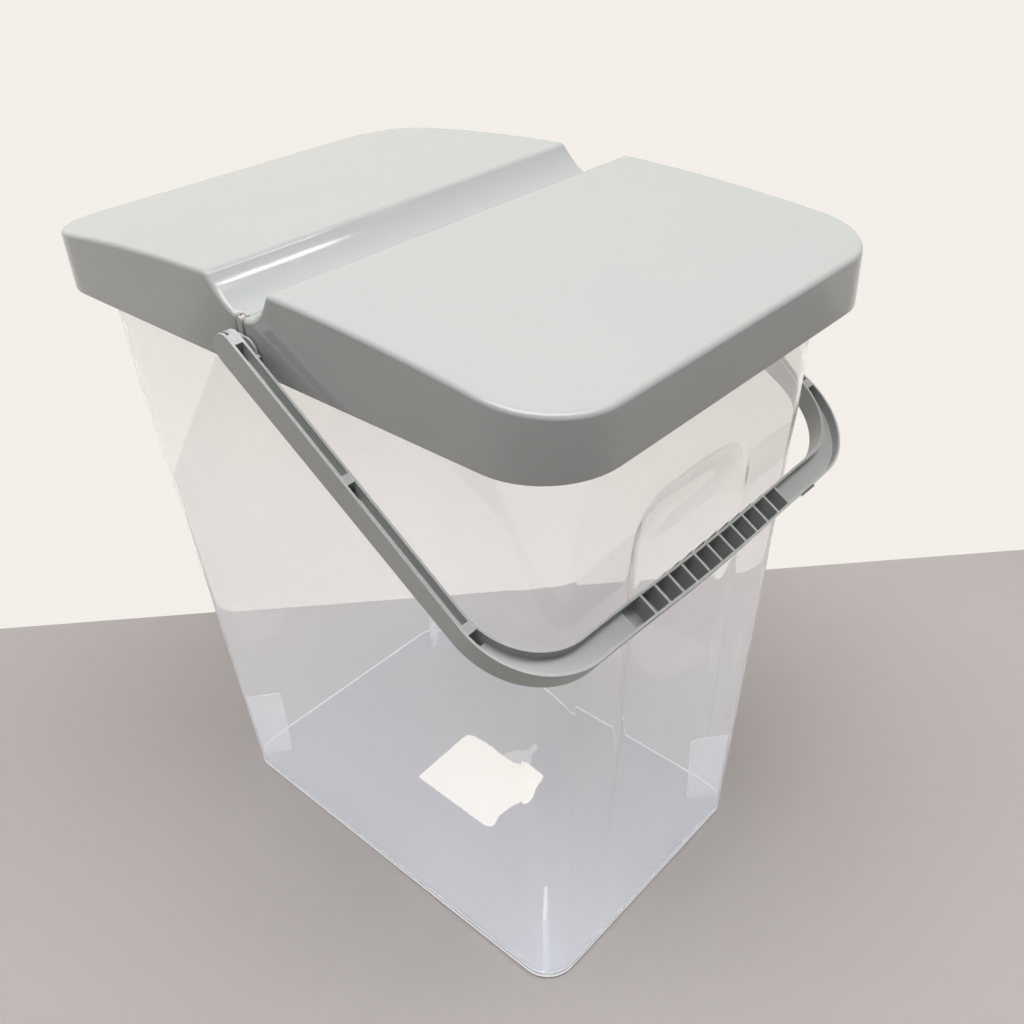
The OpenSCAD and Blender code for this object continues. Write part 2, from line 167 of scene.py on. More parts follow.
# moulded skin: fine pebble, slow waviness and faint cloudy tone, all read at the object's scale
def makeMouldSkin(s):
    group, given, out = newGroup("mouldSkin", s["inputs"], ("Height", "Cloud"))
    spot = addNode(group, "ShaderNodeTexCoord").outputs["Object"]
    noises = [addNode(group, "ShaderNodeTexNoise", **s[key]) for key in ("grain", "wave", "cloud")]
    grain, wave, cloud = noises
    for node in noises:
        group.links.new(spot, node.inputs["Vector"])
    group.links.new(given["Grain"], grain.inputs["Scale"])
    group.links.new(given["Wave"], wave.inputs["Scale"])
    fine = addNode(group, "ShaderNodeMath", operation="MULTIPLY")
    group.links.new(grain.outputs["Fac"], fine.inputs[0])
    group.links.new(given["GrainShare"], fine.inputs[1])
    total = addNode(group, "ShaderNodeMath", operation="ADD")
    group.links.new(fine.outputs[0], total.inputs[0])
    group.links.new(wave.outputs["Fac"], total.inputs[1])
    group.links.new(total.outputs[0], out["Height"])
    group.links.new(rangeOf(group, cloud.outputs["Fac"], *s["cloudRange"]), out["Cloud"])
    return group


hairSetup = {
    "inputs": {"Angle": 0.4, "Density": 60.0},
    "axis": (0.5, 0.3, 0.8),
    "squeeze": (1, 0.035, 1),
    "lines": {"Detail": 2.0, "Roughness": 0.5},
    "patch": {"Scale": 22.0, "Detail": 2.0},
    "lineRange": (0.66, 0.72),
    "patchRange": (0.52, 0.68),
}


# hairline scratches: noise squeezed into thin bands that show only in patches
def makeHairlines(s):
    group, given, out = newGroup("hairlines", s["inputs"], ("Mask",))
    spot = addNode(group, "ShaderNodeTexCoord").outputs["Object"]
    turn = addNode(group, "ShaderNodeVectorRotate", rotation_type="AXIS_ANGLE", Axis=s["axis"])
    group.links.new(spot, turn.inputs["Vector"])
    group.links.new(given["Angle"], turn.inputs["Angle"])
    squeeze = addNode(group, "ShaderNodeVectorMath", operation="MULTIPLY")
    squeeze.inputs[1].default_value = s["squeeze"]
    group.links.new(turn.outputs[0], squeeze.inputs[0])
    lines = addNode(group, "ShaderNodeTexNoise", **s["lines"])
    group.links.new(squeeze.outputs[0], lines.inputs["Vector"])
    group.links.new(given["Density"], lines.inputs["Scale"])
    patch = addNode(group, "ShaderNodeTexNoise", **s["patch"])
    group.links.new(spot, patch.inputs["Vector"])
    both = addNode(group, "ShaderNodeMath", operation="MULTIPLY")
    group.links.new(rangeOf(group, lines.outputs["Fac"], *s["lineRange"]), both.inputs[0])
    group.links.new(rangeOf(group, patch.outputs["Fac"], *s["patchRange"]), both.inputs[1])
    group.links.new(both.outputs[0], out["Mask"])
    return group


rubAndHighlightSetup = {"inputs": {"Reach": 0.0006, "Strength": 4.0}, "samples": 4}


# rounded-edge mask: where the true normal and a bevelled one part, the edge is lightened, part as rubbed
# wear and part as a painted highlight
def makeEdgeRubAndHighlight(s):
    group, given, out = newGroup("edgeRubAndHighlight", s["inputs"], ("Mask",))
    soft = addNode(group, "ShaderNodeBevel", samples=s["samples"])
    group.links.new(given["Reach"], soft.inputs["Radius"])
    true = addNode(group, "ShaderNodeNewGeometry").outputs["Normal"]
    dot = addNode(group, "ShaderNodeVectorMath", operation="DOT_PRODUCT")
    group.links.new(soft.outputs[0], dot.inputs[0])
    group.links.new(true, dot.inputs[1])
    away = addNode(group, "ShaderNodeMath", operation="SUBTRACT")
    away.inputs[0].default_value = 1
    group.links.new(dot.outputs["Value"], away.inputs[1])
    gain = addNode(group, "ShaderNodeMath", operation="MULTIPLY", use_clamp=True)
    group.links.new(away.outputs[0], gain.inputs[0])
    group.links.new(given["Strength"], gain.inputs[1])
    group.links.new(gain.outputs[0], out["Mask"])
    return group


mouldSkin = makeMouldSkin(skinSetup)
hairlines = makeHairlines(hairSetup)
edgeRubAndHighlight = makeEdgeRubAndHighlight(rubAndHighlightSetup)


# the clear plastic glows faintly: a painted glow standing in for light scattered in its milky plastic,
# bluish low down and warm higher up
clearLook = {
    "skin": {"Grain": 500.0, "Wave": 11.0, "GrainShare": 0.05},
    "scuffs": {"Angle": 0.9, "Density": 90.0},
    "tint": (0.985, 0.975, 0.97),
    "cloudTint": (0.97, 0.968, 0.97),
    "passes": 0.88,
    "paintedGlowLow": (0.80, 0.87, 1.0),
    "paintedGlowHigh": (0.60, 0.56, 0.52),
    "paintedGlowSpan": (0.04, 0.24),
    "paintedGlowLevel": 0.06,
    "roughness": (0.0, 0.012),
    "scuffed": 0.02,
    "bump": (0.02, 0.002),
    "refraction": 1.49,
    "shadowTint": (0.975, 0.98, 0.985),
}
# the fins glow more strongly: more painted glow
finLook = {**clearLook, "passes": 0.78, "paintedGlowLevel": 0.09}


# clear moulding with a faint painted glow of its own, bluish low down and warm higher up, standing in for
# light scattered in the milky plastic; lamps shine through it, so it casts hardly any shadow
def makeClearPlastic(name, s):
    material, tree, shader = newMaterial(name)
    skin = useGroup(tree, mouldSkin, **s["skin"])
    scuffs = useGroup(tree, hairlines, **s["scuffs"])
    colour = mixColours(tree, skin.outputs["Cloud"], s["tint"], s["cloudTint"])
    tree.links.new(colour, shader.inputs["Base Color"])
    worn = addNode(tree, "ShaderNodeMath", operation="MULTIPLY_ADD", use_clamp=True)
    tree.links.new(scuffs.outputs["Mask"], worn.inputs[0])
    worn.inputs[1].default_value = s["scuffed"]
    tree.links.new(rangeOf(tree, skin.outputs["Cloud"], 0, 1, *s["roughness"]), worn.inputs[2])
    tree.links.new(worn.outputs[0], shader.inputs["Roughness"])
    addBump(tree, shader, skin.outputs["Height"], *s["bump"])
    shader.inputs["IOR"].default_value = s["refraction"]
    shader.inputs["Transmission Weight"].default_value = s["passes"]
    place = addNode(tree, "ShaderNodeSeparateXYZ")
    tree.links.new(addNode(tree, "ShaderNodeTexCoord").outputs["Object"], place.inputs[0])
    # painted glow: its colour runs from bluish low down to warm higher up, by height in the object
    paintedGlowByHeight = rangeOf(tree, place.outputs["Z"], *s["paintedGlowSpan"])
    tree.links.new(mixColours(tree, paintedGlowByHeight, s["paintedGlowLow"], s["paintedGlowHigh"]), shader.inputs["Emission Color"])
    shader.inputs["Emission Strength"].default_value = s["paintedGlowLevel"]
    lamp = addNode(tree, "ShaderNodeBsdfTransparent", Color=(*s["shadowTint"], 1))
    path = addNode(tree, "ShaderNodeLightPath")
    mixed = mixShaders(tree, path.outputs["Is Shadow Ray"], shader.outputs[0], lamp.outputs[0])
    tree.links.new(mixed, tree.nodes["Material Output"].inputs["Surface"])
    return material


solidLook = {
    "skin": {"Grain": 1400.0, "Wave": 14.0, "GrainShare": 0.25},
    "bump": (0.04, 0.001),
    "refraction": 1.49,
}
lidLook = {
    **solidLook,
    "base": (0.42, 0.438, 0.428),
    "cloud": (0.405, 0.425, 0.418),
    "roughness": (0.085, 0.11),
}
handleLook = {
    **solidLook,
    "base": (0.42, 0.435, 0.422),
    "cloud": (0.385, 0.40, 0.392),
    "roughness": (0.30, 0.40),
    "scuffs": {"Angle": 0.35, "Density": 130.0},
    "scratch": (0.30, 0.31, 0.305),
    # the rubbed edges are lightened: part wear, part painted highlight
    "rubAndHighlightMask": {"Reach": 0.0005, "Strength": 5.0},
    "rubAndHighlight": (0.66, 0.68, 0.67),
}
# the milky floor is tinted blue as painted cool light, and glows faintly as painted light
milkyLook = {
    **solidLook,
    "base": (0.515, 0.53, 0.575),
    "cloud": (0.475, 0.495, 0.555),
    "roughness": (0.30, 0.42),
    "paintedGlow": 0.06,
}
# the foot's edge is painted near white and glows: a painted highlight along the foot
paintedFootHighlightLook = {
    **solidLook,
    "base": (0.92, 0.92, 0.93),
    "cloud": (0.88, 0.88, 0.90),
    "roughness": (0.25, 0.35),
    "paintedGlow": 0.42,
}
postLook = {
    **solidLook,
    "base": (0.50, 0.46, 0.44),
    "cloud": (0.46, 0.425, 0.41),
    "roughness": (0.28, 0.36),
}


# solid moulding, with scratches, edges lightened as rubbed wear and painted highlight, and a painted glow
# where its look has them
def makeSolidPlastic(name, s):
    material, tree, shader = newMaterial(name)
    skin = useGroup(tree, mouldSkin, **s["skin"])
    colour = mixColours(tree, skin.outputs["Cloud"], s["base"], s["cloud"])
    if "scratch" in s:
        scuffs = useGroup(tree, hairlines, **s["scuffs"])
        colour = mixColours(tree, scuffs.outputs["Mask"], colour, s["scratch"])
    if "rubAndHighlight" in s:
        # edges lightened: part rubbed wear, part painted highlight
        rubAndHighlight = useGroup(tree, edgeRubAndHighlight, **s["rubAndHighlightMask"])
        colour = mixColours(tree, rubAndHighlight.outputs["Mask"], colour, s["rubAndHighlight"])
    tree.links.new(colour, shader.inputs["Base Color"])
    tree.links.new(rangeOf(tree, skin.outputs["Cloud"], 0, 1, *s["roughness"]), shader.inputs["Roughness"])
    addBump(tree, shader, skin.outputs["Height"], *s["bump"])
    shader.inputs["IOR"].default_value = s["refraction"]
    # painted glow: the material gives off its own base colour as light
    if "paintedGlow" in s:
        shader.inputs["Emission Color"].default_value = (*s["base"], 1)
        shader.inputs["Emission Strength"].default_value = s["paintedGlow"]
    return material


# the paper's lift is a painted glow that makes it brighter than its light
paperLook = {
    "fibres": {"Scale": 420.0, "Detail": 6.0, "Roughness": 0.7},
    "blotches": {"Scale": 60.0, "Detail": 3.0},
    "fibreRange": (0.4, 0.75),
    "blotchRange": (0.4, 0.7, 0.1, 0.8),
    "face": (0.97, 0.95, 0.89),
    "fibre": (0.93, 0.89, 0.81),
    "roughness": 0.9,
    "lift": 0.4,
    "bump": (0.35, 0.0004),
}
thinLook = {
    **paperLook,
    "face": (0.74, 0.74, 0.74),
    "fibre": (0.66, 0.66, 0.68),
    "lift": 0.08,
}


def makePaper(name, s):
    material, tree, shader = newMaterial(name)
    spot = addNode(tree, "ShaderNodeTexCoord").outputs["Object"]
    fibre = addNode(tree, "ShaderNodeTexNoise", **s["fibres"])
    blotch = addNode(tree, "ShaderNodeTexNoise", **s["blotches"])
    tree.links.new(spot, fibre.inputs["Vector"])
    tree.links.new(spot, blotch.inputs["Vector"])
    shade = addNode(tree, "ShaderNodeMath", operation="MULTIPLY", use_clamp=True)
    tree.links.new(rangeOf(tree, fibre.outputs["Fac"], *s["fibreRange"]), shade.inputs[0])
    tree.links.new(rangeOf(tree, blotch.outputs["Fac"], *s["blotchRange"]), shade.inputs[1])
    tree.links.new(mixColours(tree, shade.outputs[0], s["face"], s["fibre"]), shader.inputs["Base Color"])
    shader.inputs["Roughness"].default_value = s["roughness"]
    # painted glow: the paper gives off its face colour as light
    shader.inputs["Emission Color"].default_value = (*s["face"], 1)
    shader.inputs["Emission Strength"].default_value = s["lift"]
    addBump(tree, shader, fibre.outputs["Fac"], *s["bump"])
    return material


clearPlastic = makeClearPlastic("clearPlastic", clearLook)
finPlastic = makeClearPlastic("finPlastic", finLook)
lidPlastic = makeSolidPlastic("lidPlastic", lidLook)
handlePlastic = makeSolidPlastic("handlePlastic", handleLook)
tornPaper = makePaper("tornPaper", paperLook)
thinPaper = makePaper("thinPaper", thinLook)
postPlastic = makeSolidPlastic("postPlastic", postLook)
milkyFloor = makeSolidPlastic("milkyFloor", milkyLook)
paintedFootHighlight = makeSolidPlastic("paintedFootHighlight", paintedFootHighlightLook)
# the fins and the posts stay as CAD meshes
for name, material in (("corner_fins", finPlastic), ("pivot_posts", postPlastic)):
    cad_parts[name].data.materials.clear()
    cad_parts[name].data.materials.append(material)
print("materials made")


def newPiece(bm, name, material):
    mesh = bpy.data.meshes.new(name)
    bm.to_mesh(mesh)
    bm.free()
    piece = bpy.data.objects.new(name, mesh)
    scene.collection.objects.link(piece)
    mesh.materials.append(material)
    print("piece", name, len(mesh.polygons), "faces")
    return piece


# smooth piece that rides on one body; edges sharper than an angle in degrees stay crisp
def finishPiece(bm, name, material, body, nodes, sharp):
    piece = newPiece(bm, name, material)
    piece.data.shade_smooth()
    piece.data.set_sharp_from_angle(angle=math.radians(sharp))
    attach(piece, body)
    if nodes:
        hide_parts(*nodes)
    return piece


# closed skin through a run of like rings of points in millimetres, capped at both ends
def loftLoops(bm, loops):
    layer = bm.verts.layers.int.get("station") or bm.verts.layers.int.new("station")
    first = [bm.verts.new(Vector(point) * mm) for point in loops[0]]
    for i, v in enumerate(first):
        v[layer] = i
    edges = [bm.edges.new((first[i - 1], first[i])) for i in range(len(first))]
    bmesh.ops.contextual_create(bm, geom=edges)
    for loop in loops[1:]:
        grown = bmesh.ops.extrude_edge_only(bm, edges=edges)["geom"]
        for v in (g for g in grown if isinstance(g, bmesh.types.BMVert)):
            v.co = Vector(loop[v[layer]]) * mm
        edges = [g for g in grown if isinstance(g, bmesh.types.BMEdge)]
    bmesh.ops.contextual_create(bm, geom=edges)


# keeps large flat faces flat beside small bevels
def evenNormals(piece):
    even = piece.modifiers.new("evenNormals", "WEIGHTED_NORMAL")
    even.keep_sharp = True
    even.weight = 60


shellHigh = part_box("body_shell")[1] / mm
bodyBuild = {
    "baseHalf": (80.7, 122.9),
    "draft": (2.23, 3.05),
    "cornerRadius": 16,
    "mouthHalf": (96.3, 143.2),
    "mouthRadius": 28,
    "flareFrom": 266,
    "mouthZ": 318,
    "wall": 1.8,
    "floor": 2.4,
    "floorFillet": ((2.2, 0), (0.7, 0.6), (0, 2.2)),     # height over the floor, distance from the wall
    "footInset": 6,
    "footRecess": 0.8,
    "footEdge": 2.7,
    "lipDrop": 1.6,
    "lipHeight": 9,
    "rimPlate": 2.2,
    "rounding": (0.7, 0.2),                              # a rounded edge's cut at its ends and middle
    "fillet": 0.6,
    "lipSoft": 0.3,
    "lipFillet": 0.5,
    "mouthSoft": 0.4,
    "leastRadius": 0.5,
    "lowRows": (6, 12, 30, 60, 86),
    "flareRows": (280, 328, 4),
    "cornerSteps": 12,
    "panelColumns": 1.3,
    "panelSpan": 50,
    "panelRows": 2.6,
    "levelNormal": 0.8,
    "floorReach": 0.8,
    "edgeReach": 0.1,
    "sharp": 40,
}
panelBuild = {
    "half": 40.4,
    "top": 273.5,
    "end": 92,
    "depth": 4.6,
    "ledge": 20,
    "rise": 30.5,
    "legRun": 9,
    "softness": 1.6,
    "rowsBelow": 2,
    "rowsAbove": 3,
}


# half width and half depth of the drafted wall, before its flare
def straightHalf(s, z):
    return [s["baseHalf"][i] + math.tan(math.radians(s["draft"][i])) * z for i in range(2)]


# outside of the wall at a height: half width, half depth, corner radius
def wallSection(s, z):
    if z >= s["mouthZ"]:
        return (*s["mouthHalf"], s["mouthRadius"])
    half = straightHalf(s, z)
    atMouth = straightHalf(s, s["mouthZ"])
    share = max(0.0, min(1.0, (z - s["flareFrom"]) / (s["mouthZ"] - s["flareFrom"])))
    flare = [(s["mouthHalf"][i] - atMouth[i]) * share ** 2 for i in range(2)]
    ease = share * share * (3 - 2 * share)
    radius = s["cornerRadius"] + (s["mouthRadius"] - s["cornerRadius"]) * ease
    return (half[0] + flare[0], half[1] + flare[1], radius)


# smaller of two numbers, with a smooth passage where they are nearly alike
def softMin(a, b, reach):
    share = max(reach - abs(a - b), 0) / reach
    return min(a, b) - share * share * reach / 4


# how far the front and rear walls are sunk at a place
def panelDepth(p, x, z):
    inside = min(1.0, abs(x) / p["half"])
    arch = p["top"] - p["rise"] + p["rise"] * (1 - inside ** 3) ** (1 / 3)
    floor = p["depth"] * (z - p["end"]) / (p["top"] - p["ledge"] - p["end"])
    ledge = (arch - z) * p["depth"] / p["ledge"]
    leg = (p["half"] - abs(x)) * p["depth"] / p["legRun"]
    deep = softMin(softMin(floor, ledge, p["softness"]), leg, p["softness"])
    return -softMin(-deep, 0, p["softness"])


# the outline's stations: a fixed x on the panelled walls, or a corner's core point and direction
def outlineStations(s):
    columns = round(2 * s["panelSpan"] / s["panelColumns"])
    steps = s["cornerSteps"]
    stations = []
    for quarter, (signX, signY) in enumerate(((1, 1), (-1, 1), (-1, -1), (1, -1))):
        for k in range(steps + 1):
            angle = math.radians(90 * quarter + 90 * k / steps)
            stations.append((None, signX, signY, math.cos(angle), math.sin(angle)))
        if quarter in (0, 2):
            for k in range(columns + 1):
                across = s["panelSpan"] * (1 - 2 * k / columns) * signX
                stations.append((across, 0, signY, 0, signY))
    return stations


# ring of points of the shell at one height, grown or shrunk from the wall's outside
def shellLoop(stations, row):
    z, halfX, halfY, radius, sunk = row
    loop = []
    for fixedX, signX, signY, normalX, normalY in stations:
        x = fixedX if fixedX is not None else signX * (halfX - radius) + normalX * radius
        y = signY * (halfY - radius) + normalY * radius
        if fixedX is not None and sunk:
            y -= signY * panelDepth(panelBuild, x, z)
        loop.append((x, y, z))
    return loop


# heights at which the wall has a ring of points
def wallLevels(s, p):
    levels = [s["footEdge"], *s["lowRows"]]
    z = p["end"] - p["rowsBelow"]
    while z < p["top"] + p["rowsAbove"]:
        levels.append(z)
        z += s["panelRows"]
    return levels + list(range(*s["flareRows"]))


# the shell's rings, from under the foot up the outside, round the rim and lip, and down the inside
def shellRows(s):
    rows = []

    def ring(z, grow, base=None, sunk=False):
        half = base or wallSection(s, z)
        radius = max(half[2] + grow, s["leastRadius"])
        rows.append((z, half[0] + grow, half[1] + grow, radius, sunk))

    levels = wallLevels(s, panelBuild)
    wall, top = s["wall"], shellHigh.z
    lipTop = top - s["lipDrop"]
    lipLow = lipTop - s["lipHeight"]
    plateLow = lipTop - s["rimPlate"]
    lip = (shellHigh.x, shellHigh.y, s["mouthRadius"] + shellHigh.x - s["mouthHalf"][0])
    mouth = wallSection(s, s["mouthZ"])
    foot = wallSection(s, 0)
    end, middle = s["rounding"]

    ring(s["footRecess"], -s["footInset"] - s["fillet"], foot)
    ring(s["footRecess"], -s["footInset"], foot)
    ring(0, -s["footInset"] + s["lipSoft"], foot)
    ring(0, -end, foot)
    ring(middle, -middle)
    ring(end, 0)
    for z in levels:
        ring(z, 0, sunk=True)
    ring(plateLow - s["fillet"], 0, mouth)
    ring(plateLow, s["fillet"], mouth)
    ring(plateLow, -wall - s["lipFillet"], lip)
    ring(plateLow - s["lipFillet"], -wall, lip)
    ring(lipLow + s["lipSoft"], -wall, lip)
    ring(lipLow, -wall + s["lipSoft"], lip)
    ring(lipLow, -s["lipSoft"], lip)
    ring(lipLow + s["lipSoft"], 0, lip)
    ring(lipTop - end, 0, lip)
    ring(lipTop - middle, -middle, lip)
    ring(lipTop, -end, lip)
    ring(lipTop, s["fillet"], mouth)
    ring(lipTop + s["fillet"], 0, mouth)
    ring(top - s["mouthSoft"], 0, mouth)
    ring(top, -s["mouthSoft"], mouth)
    ring(top, -wall + s["mouthSoft"], mouth)
    ring(top - s["mouthSoft"], -wall, mouth)
    for z in reversed(levels[1:]):
        ring(z, -wall, sunk=True)
    for up, away in s["floorFillet"]:
        ring(s["floor"] + up, -wall - away)
    return rows


# materials of its faces: 0 the clear walls, 1 the milky floor inside, tinted blue as painted cool light, 2
# the edge of the foot, painted near white and glowing as a painted highlight
def makeBodyShell(s):
    bm = bmesh.new()
    stations = outlineStations(s)
    loftLoops(bm, [shellLoop(stations, row) for row in shellRows(s)])
    bmesh.ops.recalc_face_normals(bm, faces=bm.faces)
    for face in bm.faces:
        top = max(v.co.z for v in face.verts) / mm
        level = abs(face.normal.z) > s["levelNormal"]
        onFloor = level and top < s["floor"] + s["floorReach"]
        face.material_index = 1 if onFloor else 2 if top < s["footEdge"] + s["edgeReach"] else 0
    piece = finishPiece(bm, "bodyShell", clearPlastic, "root", ["body_shell"], s["sharp"])
    piece.data.materials.append(milkyFloor)
    piece.data.materials.append(paintedFootHighlight)


makeBodyShell(bodyBuild)


lidBuild = {
    "halfX": 106.4,
    "halfY": 154.7,
    "corner": 31.4,
    "skirtZ": 314.8,
    "crownZ": 350,
    "crownRadius": 1031,
    "thickness": 1.6,
    "edgeRadius": 2.0,
    "crestY": 18.5,
    "valleyZ": 336.1,
    "rearValley": ((0, 336.1), (6, 337.2), (12, 340.5), (18.5, 349.4)),
    "frontValley": ((3, 336.1), (8, 336.4), (13.5, 339.2), (18.5, 349.4)),
    "valleySteps": 10,
    "curveSteps": 60,
    "leastStep": 0.3,
    "crestOver": 0.2,
    "crownSteps": 12,
    "cornerSteps": 12,
    "flapEdge": 1.9,
    "slitRadius": 2.45,
    "slitMiddle": (105.65, 0.55),
    "slitTurns": (-39.24, -20, 0, 20, 40, 60, 76),
    "slitEnd": 3.3,
    "edgeSteps": 5,
    "weld": 0.02,
    "sharp": 38,
}


def bezierPoint(points, t):
    a, b, c, d = (Vector(p) for p in points)
    return (1 - t) ** 3 * a + 3 * t * (1 - t) ** 2 * b + 3 * t * t * (1 - t) * c + t ** 3 * d


# height of the valley's slope at a distance from the middle
def valleyHeight(s, rear, y):
    curve = s["rearValley"] if rear else s["frontValley"]
    points = [bezierPoint(curve, k / s["curveSteps"]) for k in range(s["curveSteps"] + 1)]
    return min(points, key=lambda point: abs(point.x - y)).y


# height of the arched top at a distance from the middle
def crownHeight(s, y):
    return s["crownZ"] - s["crownRadius"] + math.sqrt(s["crownRadius"] ** 2 - y * y)


# rows across the lid from the hinge outwards: distance from the middle, height, half width
def lidRows(s, rear):
    rows = []
    if rear:
        middleX, middleY = s["slitMiddle"]
        for degrees in s["slitTurns"]:
            angle = math.radians(degrees)
            y = middleY + s["slitRadius"] * math.sin(angle)
            rows.append((y, valleyHeight(s, rear, y), middleX - s["slitRadius"] * math.cos(angle)))
    else:
        rows.append((s["flapEdge"], s["valleyZ"], s["halfX"]))
    curve = s["rearValley"] if rear else s["frontValley"]
    for k in range(s["valleySteps"] + 1):
        y, z = bezierPoint(curve, k / s["valleySteps"])
        if y > rows[-1][0] + s["leastStep"]:
            rows.append((y, z, s["halfX"]))
    rows[-1] = (s["crestY"] + s["crestOver"], crownHeight(s, s["crestY"]), s["halfX"])
    straightEnd = s["halfY"] - s["corner"]
    for k in range(1, s["crownSteps"] + 1):
        y = s["crestY"] + (straightEnd - s["crestY"]) * k / s["crownSteps"]
        rows.append((y, crownHeight(s, y), s["halfX"]))
    for k in range(1, s["cornerSteps"] + 1):
        angle = math.radians(90 * k / s["cornerSteps"])
        y = straightEnd + s["corner"] * math.sin(angle)
        rows.append((y, crownHeight(s, y), s["halfX"] - s["corner"] * (1 - math.cos(angle))))
    return rows


# one half of the lid: a sheet drawn out row by row from the hinge, then its skirt, edges and wall
def makeLidHalf(s, name, rear, body, nodes):
    bm = bmesh.new()
    side = 1 if rear else -1
    rows = lidRows(s, rear)
    y, z, half = rows[0]
    ends = [bm.verts.new((sign * half * mm, side * y * mm, z * mm)) for sign in (-1, 1)]
    edges = [bm.edges.new(ends)]
    crest = None
    for y, z, half in rows[1:]:
        grown = bmesh.ops.extrude_edge_only(bm, edges=edges)["geom"]
        edges = [g for g in grown if isinstance(g, bmesh.types.BMEdge) and len(g.link_faces) == 1
                 and all(v in grown for v in g.verts)]
        for v in (g for g in grown if isinstance(g, bmesh.types.BMVert)):
            v.co = (math.copysign(half, v.co.x) * mm, side * y * mm, z * mm)
        if y == s["crestY"] + s["crestOver"]:
            crest = edges[0]
    # the skirt hangs from the sides, corners and far end, and not from the hinge or the slit
    outer = [e for e in bm.edges if e.is_boundary
             and all(abs(v.co.x) > (s["halfX"] - s["corner"] - 1) * mm for v in e.verts)
             and not (rear and max(side * v.co.y for v in e.verts) < s["slitEnd"] * mm)
             and abs(e.verts[0].co.x - e.verts[1].co.x) < s["halfX"] * mm]
    outer += edges
    skirt = bmesh.ops.extrude_edge_only(bm, edges=outer)["geom"]
    for v in (g for g in skirt if isinstance(g, bmesh.types.BMVert)):
        v.co.z = s["skirtZ"] * mm
    bmesh.ops.recalc_face_normals(bm, faces=bm.faces)
    if sum(f.normal.z for f in bm.faces) < 0:
        bmesh.ops.reverse_faces(bm, faces=bm.faces)
    bmesh.ops.bevel(bm, geom=outer + [crest], offset=s["edgeRadius"] * mm, offset_type="OFFSET",
                    segments=s["edgeSteps"], profile=0.5, affect="EDGES", material=-1, clamp_overlap=False)
    bmesh.ops.remove_doubles(bm, verts=bm.verts, dist=s["weld"] * mm)
    piece = finishPiece(bm, name, lidPlastic, body, nodes, s["sharp"])
    wall = piece.modifiers.new("wall", "SOLIDIFY")
    wall.thickness = s["thickness"] * mm
    wall.offset = -1
    wall.use_even_offset = False
    evenNormals(piece)


makeLidHalf(lidBuild, "rearCover", True, "lid", ["rear_cover"])
makeLidHalf(lidBuild, "flipFlap", False, "flap", ["flip_flap"])


sealBuild = {
    "half": (93.7, 140.6),
    "corner": 25.4,
    "thick": 1.4,
    "lowZ": 327.5,
    "reachIn": 0.5,
    "rearFrom": 4,
    "flapFrom": 8,
    "sideSteps": 14,
    "cornerSteps": 10,
    "sharp": 35,
}


def undersideHeight(s, rear, y):
    return (crownHeight(s, y) if y >= s["crestY"] else valleyHeight(s, rear, y)) - s["thickness"]


# the U of thin wall under each half of the lid that plugs the bin's mouth
def makeSeal(s, name, rear, body):
    side = 1 if rear else -1
    start = s["rearFrom"] if rear else s["flapFrom"]
    halfX, halfY = s["half"]
    middle = (halfX - s["corner"], halfY - s["corner"])
    path = [(halfX, start + (middle[1] - start) * k / s["sideSteps"], 1, 0) for k in range(s["sideSteps"])]
    for k in range(s["cornerSteps"] + 1):
        angle = math.radians(90 * k / s["cornerSteps"])
        path.append((middle[0] + s["corner"] * math.cos(angle), middle[1] + s["corner"] * math.sin(angle),
                     math.cos(angle), math.sin(angle)))
    path += [(-x, y, -nx, ny) for x, y, nx, ny in reversed(path)]
    loops = []
    for x, y, nx, ny in path:
        innerX, innerY = x - nx * s["thick"], y - ny * s["thick"]
        high = undersideHeight(lidBuild, rear, y) + s["reachIn"]
        loops.append([(x, side * y, s["lowZ"]), (x, side * y, high), (innerX, side * innerY, high),
                      (innerX, side * innerY, s["lowZ"])])
    bm = bmesh.new()
    loftLoops(bm, loops)
    bmesh.ops.recalc_face_normals(bm, faces=bm.faces)
    finishPiece(bm, name, lidPlastic, body, [], s["sharp"])


makeSeal(sealBuild, "rearSeal", True, "lid")
makeSeal(sealBuild, "flapSeal", False, "flap")


handleBuild = {
    "pivotZ": 326.1,
    "hang": 32.05,
    "halfWidth": 115.2,
    "spread": 3.9,
    "reach": 177.7,
    "bow": 1.4,
    "radius": 37.8,
    "armWidth": 5.6,
    "barWidth": 11,
    "flange": 1.0,
    "depthPivot": 13.1,
    "depthBar": 9.9,
    "barRise": 0.8,
    "armEnd": 8,
    "web": (-0.9, 0.9),
    "deep": (-4.1, -3.05),
    "pocket": 5,
    "endWall": 0.8,
    "endShort": 0.05,
    "ribs": 12,
    "ribPitch": 8.79,
    "ribThick": 1.1,
    "ribShort": 0.3,
    "eyeEnd": 3.5,
    "eyeOut": 113,
    "grooveEnd": -1.5,
    "armBlocks": (68.9, 137.9),
    "blockWide": 4,
    "lug": (107.2, 108.1),
    "lugEye": 4.2,
    "lugLoop": 6,
    "lugMiddle": 4.2,
    "lugEnd": 10.6,
    "lugHalf": 3.5,
    "lugFoot": (0.6, 1.4),
    "nub": ((66, 74), (177.1, 178.7), (-2, 1)),
    "tipTurns": range(6, 91, 12),
    "tipLevel": 0.2,
    "overlap": 0.3,
    "eyeOverlap": 0.2,
    "webOverlap": 0.1,
    "shrink": 0.06,
    "blockShort": 0.12,
    "hair": 0.02,
    "joinSteps": 4,
    "armSteps": 12,
    "arcSteps": 20,
    "barSteps": 8,
    "webSteps": 16,
    "lugSteps": (20, 12),
    "edge": 0.22,
    "edgeFrom": 50,
    "sharp": 35,
}


# half the depth of a round end, which a small level keeps from closing to a line
def tipLevel(s, radius, e):
    return max(math.sqrt(max(radius * radius - e * e, 0)), s["tipLevel"])


